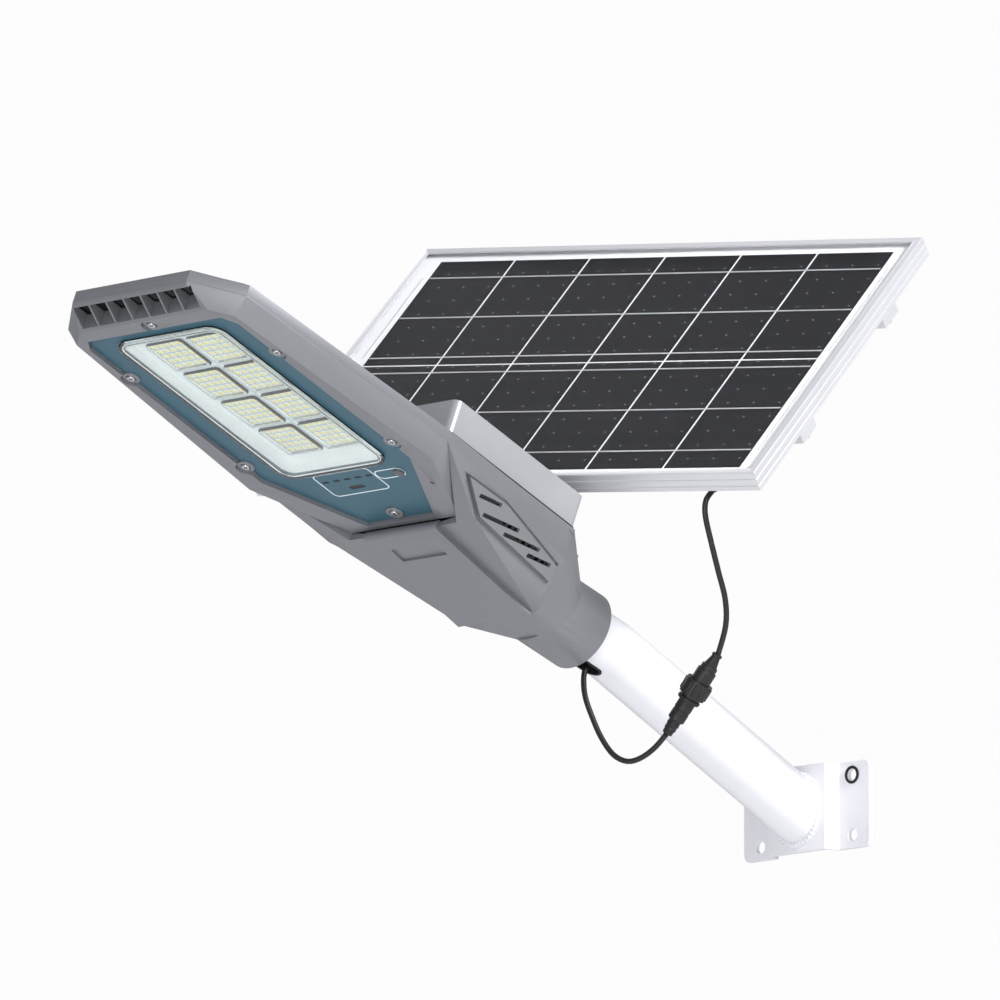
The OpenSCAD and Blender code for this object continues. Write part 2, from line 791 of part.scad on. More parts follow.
module swivel_nut() {
    color("silver") on_head() translate([0, swivel_y, turn_z + disc_t + 0.1]) difference() {
        union() {
            cylinder(r = 10, h = 1.5);
            translate([0, 0, 1.4]) cylinder(r = 9, h = 6, $fn = 6);
        }
        translate([0, 0, -1]) cylinder(r = pivot_r, h = 12);
    }
}

module swivel_turret() {
    inner = knuckle_w / 2 + cheek_gap;
    outer = inner + cheek_t;
    color("gray") on_swivel() difference() {
        union() {
            translate([0, 0, turn_z]) cylinder(r = disc_r, h = disc_t);
            for (s = [-1, 1]) {
                box_at(min(s * inner, s * outer), max(s * inner, s * outer), -cheek_w, cheek_w, turn_z, hinge_z);
                translate([s > 0 ? inner : -outer, 0, hinge_z]) rotate([0, 90, 0]) cylinder(r = cheek_w, h = cheek_t);
            }
        }
        translate([0, 0, turn_z - 1]) cylinder(r = pivot_r + pin_gap, h = disc_t + 2);
        translate([-outer - 1, 0, hinge_z]) rotate([0, 90, 0]) cylinder(r = pin_r, h = 2 * outer + 2);
    }
}

module tilt_bolt() {
    outer = knuckle_w / 2 + cheek_gap + cheek_t;
    color("silver") on_swivel() translate([0, 0, hinge_z]) rotate([0, 90, 0]) {
        translate([0, 0, -outer]) cylinder(r = pin_r, h = 2 * outer + 10);
        translate([0, 0, -outer - 5.5]) cylinder(r = 7.2, h = 5.5, $fn = 6);
    }
}

module tilt_nut() {
    outer = knuckle_w / 2 + cheek_gap + cheek_t;
    color("silver") on_swivel() translate([outer, 0, hinge_z]) rotate([0, 90, 0]) difference() {
        union() {
            cylinder(r = 8, h = 1.5);
            translate([0, 0, 1.4]) cylinder(r = 7.2, h = 6.5, $fn = 6);
        }
        translate([0, 0, -1]) cylinder(r = pin_r, h = 12);
    }
}

// ---- Solar panel

module panel_arm() {
    half = knuckle_w / 2;
    color("gray") on_hinge() difference() {
        union() {
            translate([-half, 0, 0]) rotate([0, 90, 0]) cylinder(r = knuckle_r, h = knuckle_w);
            box_at(-half, half, 0, rail_high_y + 16, spine_back, rail_z);
        }
        box_at(-half + 3, half - 3, 22, rail_high_y + 17, spine_back - 1, rail_z - 3);
        translate([-half - 1, 0, 0]) rotate([0, 90, 0]) cylinder(r = pin_r + pin_gap, h = knuckle_w + 2);
        at_spine_screws() translate([0, 0, -10]) cylinder(r = 2.6, h = 30);
    }
}

module at_spine_screws() {
    for (y = [rail_low_y, rail_high_y], x = [-6, 6]) translate([x, y, rail_z - 3]) children();
}

module at_frame_screws() {
    for (y = [rail_low_y, rail_high_y], s = [-1, 1])
        translate([panel_x + s * (panel_w / 2 - 7), y, panel_back]) children();
}

module cross_rail(y) {
    half = panel_w / 2 - 1.5;
    color("silver") on_hinge() difference() {
        box_at(panel_x - half, panel_x + half, y - rail_w / 2, y + rail_w / 2, rail_z, panel_back);
        box_at(panel_x - half + 16, panel_x + half - 16, y - rail_w / 2 + 2, y + rail_w / 2 - 2,
            rail_z + 2, panel_back + 1);
        at_spine_screws() translate([0, 0, -2]) cylinder(r = 2.4, h = 40);
        at_frame_screws() translate([0, 0, -30]) cylinder(r = 2.2, h = 40);
    }
}

module cross_rail_lower() {
    cross_rail(rail_low_y);
}

module cross_rail_upper() {
    cross_rail(rail_high_y);
}

module rail_screws() {
    color("silver") on_hinge() {
        at_spine_screws() mirror([0, 0, 1]) cap_screw(4, 2.6, 2.4, 5);
        at_frame_screws() translate([0, 0, rail_z - panel_back]) mirror([0, 0, 1])
            cap_screw(3.6, 2.4, 2.2, panel_front - rail_z - frame_t + 1.5);
    }
}

// Cross-section of a frame rail: x runs inward from the outer face and y out to the front
module rail_section() {
    b = panel_back;
    f = panel_front;
    polygon([
        [0, b], [12, b], [12, b + 1.5], [wall_f, b + 1.5], [wall_f, sheet_z - 1.5], [8, sheet_z - 1.5],
        [8, sheet_z], [wall_f, sheet_z], [wall_f, f - lip_t], [6.5, f - lip_t], [6.5, f - 0.4],
        [6.1, f], [0.5, f], [0, f - 0.5], [0, b + 11.6], [0.6, b + 11.1], [0.6, b + 10.6], [0, b + 10.1],
        [0, b + 5.2], [0.6, b + 4.7], [0.6, b + 4.2], [0, b + 3.7]
    ]);
}

// One frame rail of a given length, lying along x with its outer face at y = 0, mitred at both ends
module mitred_rail(len) {
    intersection() {
        translate([-len / 2, 0, 0]) rotate([90, 0, 90]) linear_extrude(len) rail_section();
        slab(panel_back - 5, panel_front + 5)
            polygon([[-len / 2, 0], [len / 2, 0], [len / 2 - 20, 20], [-len / 2 + 20, 20]]);
    }
}

module on_panel() {
    on_hinge() translate([panel_x, panel_y + panel_h / 2, 0]) children();
}

module frame_bottom() {
    color("silver") on_panel() translate([0, -panel_h / 2, 0]) mitred_rail(panel_w);
}

module frame_top() {
    color("silver") on_panel() rotate([0, 0, 180]) translate([0, -panel_h / 2, 0]) mitred_rail(panel_w);
}

module frame_left() {
    color("silver") on_panel() rotate([0, 0, -90]) translate([0, -panel_w / 2, 0]) frame_side();
}

module frame_right() {
    color("silver") on_panel() rotate([0, 0, 90]) translate([0, -panel_w / 2, 0]) frame_side();
}

module frame_side() {
    difference() {
        mitred_rail(panel_h);
        for (y = [rail_low_y, rail_high_y])
            for (s = [-1, 1])
                translate([s * (y - panel_y - panel_h / 2), 7, panel_back - 1]) cylinder(r = 2.2, h = 4);
    }
}

module corner_keys() {
    z0 = panel_back + 1.5;
    z1 = sheet_z - 1.5;
    color("gray") on_panel() for (x = [-1, 1], y = [-1, 1])
        mirror([x < 0 ? 1 : 0, 0, 0]) mirror([0, y < 0 ? 1 : 0, 0])
            translate([panel_w / 2 - wall_f, panel_h / 2 - wall_f, 0]) {
                box_at(-26, 0, -6, 0, z0, z1);
                box_at(-6, 0, -26, -6 + eps, z0, z1);
            }
}

module panel_sheet(z0, z1, gap) {
    box_at(-panel_w / 2 + wall_f + gap, panel_w / 2 - wall_f - gap,
        -panel_h / 2 + wall_f + gap, panel_h / 2 - wall_f - gap, z0, z1);
}

module panel_glass() {
    color("lightblue") on_panel() panel_sheet(glass_z, glass_z + glass_t, 0.5);
}

module back_sheet() {
    color("white") on_panel() panel_sheet(sheet_z, sheet_z + sheet_t, 0.5);
}

module solar_cells() {
    color("midnightblue") on_panel() for (i = [0 : cell_cols - 1], j = [-0.5, 0.5])
        translate([(i - (cell_cols - 1) / 2) * cell_pitch, j * row_pitch, solar_z])
            translate([-(cell_pitch - cell_gap) / 2, -(row_pitch - cell_gap) / 2, 0])
                cube([cell_pitch - cell_gap, row_pitch - cell_gap, solar_t]);
}

module cell_ribbons() {
    half = cell_cols * cell_pitch / 2 - 2;
    color("silver") on_panel() for (side = [-1, 1], share = ribbon_shares)
        box_at(-half, half, side * share * row_pitch - ribbon_w / 2, side * share * row_pitch + ribbon_w / 2,
            ribbon_z, ribbon_z + ribbon_t);
}

module junction_box() {
    z1 = sheet_z;
    color("black") on_hinge() difference() {
        box_at(box_x - box_w / 2, box_x + box_w / 2, box_y0, box_y1, rail_z + 2, z1);
        box_at(box_x - box_w / 2 + 2.5, box_x + box_w / 2 - 2.5, box_y0 + 2.5, box_y1 - 2.5, rail_z, z1 - 2.5);
    }
}

module junction_lid() {
    color("black") on_hinge() translate([box_x, (box_y0 + box_y1) / 2, 0])
        slab(rail_z, rail_z + 2) round_rect(box_w, box_y1 - box_y0, 3);
}

module cord_gland() {
    color("black") on_hinge() translate([box_x, box_y0, gland_z + 1]) rotate([90, 0, 0]) {
        cylinder(r = gland_r - 0.6, h = 4, $fn = 32);
        translate([0, 0, 4 - eps]) cylinder(r = gland_r, h = 7, $fn = 32);
        translate([0, 0, 11 - 2 * eps]) cylinder(r1 = gland_r - 0.5, r2 = 3.2, h = 5, $fn = 32);
    }
}

// ---- Cord and its connector

module panel_cord_upper() {
    color("black") swept_tube(upper_route, cord_r, 3);
}

module panel_cord_lower() {
    color("black") swept_tube(lower_route, cord_r, 3);
}

module lamp_cord() {
    color("black") swept_tube(lamp_route, cord_r, 2);
}

module socket_half() {
    color("black") on_link() {
        cylinder(r = link_r, h = 17);
        translate([0, 0, 17 - eps]) cylinder(r = link_r - 1.2, h = 4);
        translate([0, 0, 21 - 2 * eps]) cylinder(r1 = link_r - 2, r2 = 3.2, h = 9);
        translate([0, 0, 30 - 3 * eps]) cylinder(r = 4, h = 2);
    }
}

module link_seal() {
    color("dimgray") on_link() translate([0, 0, -1.2]) difference() {
        cylinder(r = 7.2, h = 1.2);
        translate([0, 0, -1]) cylinder(r = 4, h = 4);
    }
}

module coupling_nut() {
    color("black") on_link() translate([0, 0, -7]) difference() {
        union() {
            cylinder(r = 11, h = 13.5);
            for (a = [0 : 30 : 330]) rotate([0, 0, a]) translate([10.6, 0, 1.5]) cylinder(r = 1.2, h = 10.5);
        }
        translate([0, 0, -1]) cylinder(r = link_r + link_gap, h = 16);
    }
}

module plug_half() {
    color("black") on_link() mirror([0, 0, 1]) {
        translate([0, 0, 1.2]) cylinder(r = link_r - 0.2, h = 8);
        translate([0, 0, 9]) cylinder(r = link_r + 1.6, h = 3);
        translate([0, 0, 12 - eps]) cylinder(r = 7, h = 18);
        translate([0, 0, 30 - 2 * eps]) cylinder(r1 = 6, r2 = 3.2, h = 13);
    }
}

wall_plate();
anchor_ring();
arm_tube();
weld_bead();
cable_bung();
lamp_housing();
lamp_bezel();
tip_screen();
chin_cover();
side_grilles();
vent_screens();
lamp_plate();
reflector_tray();
module_boards();
light_chips();
module_lenses();
lens_cover();
lens_seal();
lamp_screws();
status_lenses();
power_button();
power_switch();
control_board();
battery_holder();
battery_cells();
battery_gasket();
battery_lid();
lid_screws();
collar_screws();
swivel_foot();
foot_screws();
swivel_nut();
swivel_turret();
tilt_bolt();
tilt_nut();
panel_arm();
cross_rail_lower();
cross_rail_upper();
rail_screws();
frame_left();
frame_right();
frame_top();
frame_bottom();
corner_keys();
panel_glass();
solar_cells();
cell_ribbons();
back_sheet();
junction_box();
junction_lid();
cord_gland();
panel_cord_upper();
panel_cord_lower();
socket_half();
link_seal();
coupling_nut();
plug_half();
lamp_cord();
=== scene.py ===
import json
import math

import bmesh
import bpy
from bpy.props import FloatProperty, FloatVectorProperty, IntProperty, PointerProperty
from mathutils import Matrix, Vector

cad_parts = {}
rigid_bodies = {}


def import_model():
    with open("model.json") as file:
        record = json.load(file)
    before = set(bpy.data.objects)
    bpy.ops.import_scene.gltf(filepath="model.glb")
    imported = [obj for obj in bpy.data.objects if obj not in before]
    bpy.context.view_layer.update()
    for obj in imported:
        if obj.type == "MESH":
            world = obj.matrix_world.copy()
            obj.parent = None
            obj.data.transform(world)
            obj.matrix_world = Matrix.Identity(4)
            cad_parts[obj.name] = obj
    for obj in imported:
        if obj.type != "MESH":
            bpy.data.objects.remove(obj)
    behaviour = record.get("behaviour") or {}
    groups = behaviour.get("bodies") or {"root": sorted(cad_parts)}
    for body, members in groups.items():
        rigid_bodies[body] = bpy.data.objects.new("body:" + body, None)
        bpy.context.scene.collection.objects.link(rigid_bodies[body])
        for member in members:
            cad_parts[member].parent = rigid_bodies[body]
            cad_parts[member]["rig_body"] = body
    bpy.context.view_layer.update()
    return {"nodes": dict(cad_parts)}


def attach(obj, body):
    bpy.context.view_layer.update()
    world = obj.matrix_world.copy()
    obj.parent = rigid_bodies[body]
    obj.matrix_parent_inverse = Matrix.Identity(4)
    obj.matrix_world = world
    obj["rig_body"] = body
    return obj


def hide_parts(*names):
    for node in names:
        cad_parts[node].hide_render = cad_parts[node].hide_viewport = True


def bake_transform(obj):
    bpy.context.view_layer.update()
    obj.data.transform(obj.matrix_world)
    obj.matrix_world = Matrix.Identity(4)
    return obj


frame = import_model()

bl_info = {
    "name": "Solar Street Lamp",
    "version": (1, 0, 0),
    "blender": (4, 5, 0),
    "location": "View3D > Sidebar > Street Lamp",
    "description": "Finishes a wall-arm solar street lamp piece by piece",
    "category": "Object",
}

MM = 0.001

# The lamp head's own frame: x across, -y to the tip, z out of the deck
HEAD_PITCH = math.radians(23)
ON_HEAD = Matrix.Translation((0, -0.265714, 0.114718)) @ Matrix.Rotation(-HEAD_PITCH, 4, "X")

# The panel's frame at its tilt hinge: x along the hinge, y up the panel, z out of its front
HINGE_AT = Vector((0, -0.307122, 0.203994))
HINGE_ROWS = (
    (0.97629601, -0.08456969, 0.19923372),
    (0.19923372, 0.71081, -0.67457),
    (-0.08456969, 0.69828, 0.71081),
)
ON_HINGE = Matrix.Translation(HINGE_AT) @ Matrix(HINGE_ROWS).to_4x4()

# The cord connector's frame, z along it and up
ON_LINK = (
    Matrix.Translation((0.103, -0.242, 0.060))
    @ Matrix.Rotation(math.radians(13), 4, "Z")
    @ Matrix.Rotation(math.radians(38), 4, "Y")
)

# Cord routes, in millimetres
UPPER_ROUTE = ((154, -277, 206), (154.5, -285, 197), (153, -284, 185), (150.2, -274.4, 165.6))
LOWER_ROUTE = (
    (150, -274, 165), (146, -262, 145), (142, -250, 125), (135, -242, 106), (122.5, -237.5, 85),
)
LAMP_ROUTE = (
    (76.5, -248.2, 25.5), (66, -250, 16), (54, -253, 9), (43, -257, 7), (32, -261, 13),
    (22, -264, 27), (14, -266, 44), (7, -267, 62), (1, -262, 79), (0, -257, 89),
)

# The lamp plate's face, its screws and the light, in the head's frame and millimetres
PLATE_FACE = -18.0
SCREW_PLACES = ((0, -506), (-79.5, -445), (79.5, -445), (-79.5, -309), (79.5, -309), (0, -218))
LIGHT_MID_Y = -388.0
MODULE_PITCH = 44.0
MODULE_ROWS = 4
LENS_SIDE, LENS_CORNER, LENS_THICK, LENS_Z = 39.6, 4, 2.8, -10.6
LENS_EDGE, LENS_RIM, LENS_STEP, LENS_DISH = 1.1, 2.2, 0.8, 0.9
CHIPS_A_SIDE = 5
CHIP_STEP, CHIP_SIDE, CHIP_THICK, CHIP_Z = 7.0, 4.4, 0.5, -6.85
DOME_LOW_R, DOME_TOP_R, DOME_THICK, DOME_Z = 1.7, 2.05, 0.25, -7.2
TAB_PROFILE = ((3.9, 0), (7.3, 0), (7.3, -1.0), (6.9, -1.5), (4.6, -1.5), (3.9, -0.8), (3.9, 0))

# Printed lines: width, length, corner, line width, then the middle's place
WINDOW_LINE, WINDOW_AT = (60, 32, 5, 1.1), (-5, -265)
BUTTON_LINE, BUTTON_AT = (30, 12, 5.9, 1.0), (40, -268)
PRINT_THICK, PRINT_LIFT = 0.1, 0.01

# The connector's two halves, as (radius, height) pairs in millimetres
SOCKET_PROFILE = (
    (0, 0), (8, 0), (8, 16.4), (7.4, 17), (6.8, 17.2), (6.8, 20.6), (6.2, 21.2), (5.6, 21.4),
    (3.6, 29.4), (3.6, 29.8), (4.3, 30.1), (4.3, 31.2), (3.9, 32), (0, 32),
)
PLUG_PROFILE = (
    (0, -1.2), (7.8, -1.2), (7.8, -9), (9.4, -9.2), (9.6, -9.6), (9.6, -11.4), (9.2, -12), (7.1, -12.2),
    (7.1, -20), (6.6, -20.5), (6.6, -21.3), (7.0, -21.8), (7.0, -29.4), (6.4, -30), (5.2, -30.4),
    (5.0, -33), (5.3, -33.3), (5.2, -34.6), (4.8, -35), (4.6, -37), (4.9, -37.3), (4.8, -38.6),
    (4.3, -39), (4.1, -42.2), (3.7, -43), (0, -43),
)

# The weld where the arm meets the wall plate
ARM_PITCH = math.radians(25.5)
WELD_RADIUS, WELD_BEAD, WELD_Y = 25.4, 2.3, -16.2
WELD_STEPS = 220
RIPPLE_DEPTH = 0.13
DRIFT_DEPTH, DRIFT_WAVES = 0.05, 7

# Ribbons down the panel's side margins, in the hinge's frame and millimetres
PANEL_MID_X, PANEL_MID_Y = -29, 161
END_RIBBON_X, END_RIBBON_Z = 219.5, 29.28
END_RIBBON_WIDTH, END_RIBBON_THICK = 1.4, 0.2
END_RIBBON_SPANS = ((10.6, 122), (-122, -10.6))

# The stage: what the camera and the lights face, and each light's place, size and power
VIEW_AIM = (-0.0452, -0.309, 0.219)
VIEW_AZIMUTH, VIEW_ELEVATION = 44, -10
SENSOR_MM = 36.0
LIGHT_AIM = (0, -0.35, 0.2)
LIGHTS = (
    ("key", (3.0, -0.4, 1.6), 1.1, 112),
    ("fill", (1.4, -3.0, -0.5), 1.8, 30),
    ("back", (-2.2, 0.8, 1.9), 1.6, 22),
)
FLOOR_HALF = 30.0

# Corners this near, in metres, count as one, and faces this flat, in degrees, are joined
MERGE_DIST = 2e-6
FLAT_ANGLE = 0.6


# ---- Shared helpers

def sizes():
    return bpy.context.scene.street_lamp_sizes


def finishes():
    return bpy.context.scene.street_lamp_finishes


def shade(mesh, angle=30.0):
    mesh.polygons.foreach_set("use_smooth", [True] * len(mesh.polygons))
    mesh.set_sharp_from_angle(angle=math.radians(angle))
    mesh.update()


def add_piece(name, bm, body, material, replaces=(), place=None, angle=30.0):
    """A finished mesh piece that rides on a body."""
    if place is not None:
        bmesh.ops.transform(bm, matrix=place, verts=bm.verts)
    bmesh.ops.recalc_face_normals(bm, faces=bm.faces)
    mesh = bpy.data.meshes.new(name)
    bm.to_mesh(mesh)
    bm.free()
    mesh.materials.append(material)
    shade(mesh, angle)
    obj = bpy.data.objects.new(name, mesh)
    bpy.context.scene.collection.objects.link(obj)
    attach(obj, body)
    if replaces:
        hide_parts(*replaces)
    return obj


def merged_copy(node):
    """A bmesh of a CAD node with its loose triangles joined into whole faces."""
    bm = bmesh.new()
    bm.from_mesh(frame["nodes"][node].data)
    bmesh.ops.remove_doubles(bm, verts=bm.verts, dist=MERGE_DIST)
    bmesh.ops.dissolve_limit(bm, angle_limit=math.radians(FLAT_ANGLE), verts=bm.verts, edges=bm.edges)
    return bm


def refine(node, material, round_mm=0.8, segments=2, angle=32.0):
    """Stands in for a CAD node with the same shape, its edges rounded."""
    bm = merged_copy(node)
    owner = frame["nodes"][node]["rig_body"]
    obj = add_piece(node + "_finished", bm, owner, material, (node,), angle=60.0)
    bevel = obj.modifiers.new("rounded edges", "BEVEL")
    bevel.width = round_mm * MM * sizes().edge_round
    bevel.segments = segments
    bevel.limit_method = "ANGLE"
    bevel.angle_limit = math.radians(angle)
    bevel.harden_normals = True
    obj.data.polygons.foreach_set("use_smooth", [True] * len(obj.data.polygons))
    return obj


def dress(node, material):
    """Gives a CAD node that keeps its own mesh a better material."""
    obj = frame["nodes"][node]
    for s in obj.material_slots:
        s.material = material
    if not obj.material_slots:
        obj.data.materials.append(material)


def rounded_plate(width, length, corner, thick):
    """A rounded rectangle in millimetres, from z 0 up to its thickness."""
    bm = bmesh.new()
    bmesh.ops.create_grid(bm, x_segments=1, y_segments=1, size=0.5)
    bmesh.ops.scale(bm, vec=(width * MM, length * MM, 1), verts=bm.verts)
    if corner:
        bmesh.ops.bevel(bm, geom=bm.verts[:], offset=corner * MM, offset_type="OFFSET", segments=6,
                        profile=0.5, affect="VERTICES", material=-1)
    if thick:
        top = bmesh.ops.extrude_face_region(bm, geom=bm.faces[:])
        raised = [v for v in top["geom"] if isinstance(v, bmesh.types.BMVert)]
        bmesh.ops.translate(bm, vec=(0, 0, thick * MM), verts=raised)
    return bm


def outline_band(width, length, corner, line, thick):
    """A thin raised line round a rounded rectangle."""
    bm = rounded_plate(width, length, corner, 0)
    inner = bm.faces[:]
    bmesh.ops.inset_region(bm, faces=inner, thickness=line * MM, use_boundary=True, use_even_offset=True)
    bmesh.ops.delete(bm, geom=inner, context="FACES")
    band = bmesh.ops.extrude_face_region(bm, geom=bm.faces[:])
    bmesh.ops.translate(bm, vec=(0, 0, -thick * MM),
                        verts=[v for v in band["geom"] if isinstance(v, bmesh.types.BMVert)])
    return bm


def joined(parts):
    """One bmesh of several, each moved by its own matrix."""
    whole = bmesh.new()
    for bm, matrix in parts:
        bmesh.ops.transform(bm, matrix=matrix, verts=bm.verts)
        mesh = bpy.data.meshes.new("part")
        bm.to_mesh(mesh)
        bm.free()
        whole.from_mesh(mesh)
        bpy.data.meshes.remove(mesh)
    return whole


def at(x, y, z):
    return Matrix.Translation((x * MM, y * MM, z * MM))


def turned(profile, steps=40):
    """A body of revolution about z, from (radius, height) pairs in millimetres."""
    bm = bmesh.new()
    verts = [bm.verts.new((r * MM, 0, z * MM)) for r, z in profile]
    edges = [bm.edges.new(pair) for pair in zip(verts, verts[1:])]
    bmesh.ops.spin(bm, geom=verts + edges, cent=(0, 0, 0), axis=(0, 0, 1), angle=math.tau,
                   steps=steps, use_merge=True)
    bmesh.ops.remove_doubles(bm, verts=bm.verts, dist=1e-6)
    return bm


# ---- Shader node groups and materials

def new_group(name, ins, outs):
    group = bpy.data.node_groups.new(name, "ShaderNodeTree")
    for label, kind, value in ins:
        socket = group.interface.new_socket(label, in_out="INPUT", socket_type=kind)
        socket.default_value = value
    for label, kind in outs:
        group.interface.new_socket(label, in_out="OUTPUT", socket_type=kind)
    return group, group.nodes.new("NodeGroupInput"), group.nodes.new("NodeGroupOutput")


def math_node(tree, operation, first, second=None, clamp=False):
    node = tree.nodes.new("ShaderNodeMath")
    node.operation = operation
    node.use_clamp = clamp
    for socket, value in zip(node.inputs, (first, second)):
        if value is None:
            continue
        if isinstance(value, (int, float)):
            socket.default_value = value
        else:
            tree.links.new(value, socket)
    return node.outputs[0]


def grain_group():
    """Fine surface grain, cloudy shade and varied gloss for moulded, cast and coated skins."""
    if "surface grain" in bpy.data.node_groups:
        return bpy.data.node_groups["surface grain"]
    g, start, end = new_group(
        "surface grain",
        [("Colour", "NodeSocketColor", (0.5, 0.5, 0.5, 1)), ("Cloud", "NodeSocketFloat", 0.1),
         ("Cloud Scale", "NodeSocketFloat", 14.0), ("Grain Scale", "NodeSocketFloat", 1500.0),
         ("Fleck", "NodeSocketFloat", 0.05), ("Rough", "NodeSocketFloat", 0.4),
         ("Rough Spread", "NodeSocketFloat", 0.1)],
        [("Colour", "NodeSocketColor"), ("Roughness", "NodeSocketFloat"), ("Height", "NodeSocketFloat")],
    )
    place = g.nodes.new("ShaderNodeTexCoord").outputs["Object"]
    cloud = g.nodes.new("ShaderNodeTexNoise")
    cloud.inputs["Detail"].default_value = 4
    fine = g.nodes.new("ShaderNodeTexNoise")
    fine.inputs["Detail"].default_value = 2
    g.links.new(place, cloud.inputs["Vector"])
    g.links.new(place, fine.inputs["Vector"])
    g.links.new(start.outputs["Cloud Scale"], cloud.inputs["Scale"])
    g.links.new(start.outputs["Grain Scale"], fine.inputs["Scale"])
    drift = math_node(g, "SUBTRACT", cloud.outputs["Fac"], 0.5)
    speck = math_node(g, "SUBTRACT", fine.outputs["Fac"], 0.5)
    shade_a = math_node(g, "MULTIPLY", drift, start.outputs["Cloud"])
    shade_b = math_node(g, "MULTIPLY", speck, start.outputs["Fleck"])
    value = math_node(g, "ADD", math_node(g, "ADD", shade_a, shade_b), 1.0)
    tint = g.nodes.new("ShaderNodeHueSaturation")
    g.links.new(start.outputs["Colour"], tint.inputs["Color"])
    g.links.new(value, tint.inputs["Value"])
    g.links.new(tint.outputs["Color"], end.inputs["Colour"])
    spread = math_node(g, "MULTIPLY", drift, start.outputs["Rough Spread"])
    g.links.new(math_node(g, "ADD", spread, start.outputs["Rough"], clamp=True), end.inputs["Roughness"])
    g.links.new(fine.outputs["Fac"], end.inputs["Height"])
    return g


def cell_group():
    """The printed silver on a solar cell: fine fingers, faint rows and solder dots, in the panel's frame."""
    if "cell print" in bpy.data.node_groups:
        return bpy.data.node_groups["cell print"]
    g, start, end = new_group(
        "cell print",
        [("Colour", "NodeSocketColor", (0.01, 0.01, 0.01, 1)), ("Print", "NodeSocketColor", (0.5, 0.5,
                                                                                             0.5, 1)),
         ("Finger Step", "NodeSocketFloat", 0.0018), ("Row Step", "NodeSocketFloat", 0.0186),
         ("Dot Step", "NodeSocketFloat", 0.02383)],
        [("Colour", "NodeSocketColor")],
    )
    coords = g.nodes.new("ShaderNodeTexCoord")
    place = g.nodes.new("ShaderNodeMapping")
    place.vector_type = "TEXTURE"
    place.inputs["Location"].default_value = HINGE_AT
    place.inputs["Rotation"].default_value = ON_HINGE.to_euler()
    g.links.new(coords.outputs["Object"], place.inputs["Vector"])
    split = g.nodes.new("ShaderNodeSeparateXYZ")
    g.links.new(place.outputs["Vector"], split.inputs[0])

    def near_line(coordinate, step, half_width):
        turns = math_node(g, "DIVIDE", coordinate, step)
        off = math_node(g, "ABSOLUTE", math_node(g, "SUBTRACT", math_node(g, "FRACT", turns), 0.5))
        return math_node(g, "LESS_THAN", math_node(g, "MULTIPLY", off, step), half_width)

    x, y = split.outputs["X"], split.outputs["Y"]
    fingers = near_line(y, start.outputs["Finger Step"], 0.00012)
    rows = near_line(y, start.outputs["Row Step"], 0.0002)
    dots = math_node(g, "MULTIPLY", near_line(x, start.outputs["Dot Step"], 0.0006),
                     near_line(y, start.outputs["Row Step"], 0.0006))
    faint = math_node(g, "ADD", math_node(g, "MULTIPLY", fingers, 0.012), math_node(g, "MULTIPLY",
                                                                                    rows, 0.035))
    mask = math_node(g, "ADD", faint, math_node(g, "MULTIPLY", dots, 0.5), clamp=True)
    mix = g.nodes.new("ShaderNodeMix")
    mix.data_type = "RGBA"
    g.links.new(mask, mix.inputs["Factor"])
    g.links.new(start.outputs["Colour"], mix.inputs["A"])
    g.links.new(start.outputs["Print"], mix.inputs["B"])
    g.links.new(mix.outputs["Result"], end.inputs["Colour"])
    return g


def blank_material(name):
    mat = bpy.data.materials.new(name)
    mat.use_nodes = True
    return mat, mat.node_tree, mat.node_tree.nodes["Principled BSDF"]


def grained(name, colour, rough=0.4, spread=0.1, cloud=0.1, cloud_scale=14.0, grain=1500.0, fleck=0.05,
            bump=0.15, bump_mm=0.05, metallic=0.0, coat=0.0, specular=0.5, painted_glow=0.0):
    """A coated, moulded or cast skin, which can carry painted light: a glow of its own colour that brightens
    it where no lit lamp is.
    """
    if name in bpy.data.materials:
        return bpy.data.materials[name]
    mat, tree, shader = blank_material(name)
    node = tree.nodes.new("ShaderNodeGroup")
    node.node_tree = grain_group()
    for label, value in (("Colour", (*colour, 1)), ("Cloud", cloud), ("Cloud Scale", cloud_scale),
                         ("Grain Scale", grain), ("Fleck", fleck), ("Rough", rough), ("Rough Spread",
                                                                                      spread)):
        node.inputs[label].default_value = value
    tree.links.new(node.outputs["Colour"], shader.inputs["Base Color"])
    tree.links.new(node.outputs["Roughness"], shader.inputs["Roughness"])
    relief = tree.nodes.new("ShaderNodeBump")
    relief.inputs["Strength"].default_value = bump
    relief.inputs["Distance"].default_value = bump_mm * MM
    tree.links.new(node.outputs["Height"], relief.inputs["Height"])
    tree.links.new(relief.outputs["Normal"], shader.inputs["Normal"])
    shader.inputs["Metallic"].default_value = metallic
    shader.inputs["Coat Weight"].default_value = coat
    shader.inputs["Coat Roughness"].default_value = 0.15
    shader.inputs["Specular IOR Level"].default_value = specular
    # Painted light: the emission of the skin's own colour stands in for light reaching it, not for a lit
    # lamp.
    if painted_glow:
        tree.links.new(node.outputs["Colour"], shader.inputs["Emission Color"])
        shader.inputs["Emission Strength"].default_value = painted_glow
    return mat


def clear_material(name, tint, rough, ior, specular=0.5):
    """Glass or clear plastic that lets the lamps' light through to what is behind it."""
    if name in bpy.data.materials:
        return bpy.data.materials[name]
    mat, tree, shader = blank_material(name)
    shader.inputs["Base Color"].default_value = (*tint, 1)
    shader.inputs["Roughness"].default_value = rough
    shader.inputs["IOR"].default_value = ior
    shader.inputs["Transmission Weight"].default_value = 1.0
    shader.inputs["Specular IOR Level"].default_value = specular
    path = tree.nodes.new("ShaderNodeLightPath")
    open_way = tree.nodes.new("ShaderNodeBsdfTransparent")
    mix = tree.nodes.new("ShaderNodeMixShader")
    tree.links.new(path.outputs["Is Shadow Ray"], mix.inputs[0])
    tree.links.new(shader.outputs[0], mix.inputs[1])
    tree.links.new(open_way.outputs[0], mix.inputs[2])
    tree.links.new(mix.outputs[0], tree.nodes["Material Output"].inputs["Surface"])
    return mat


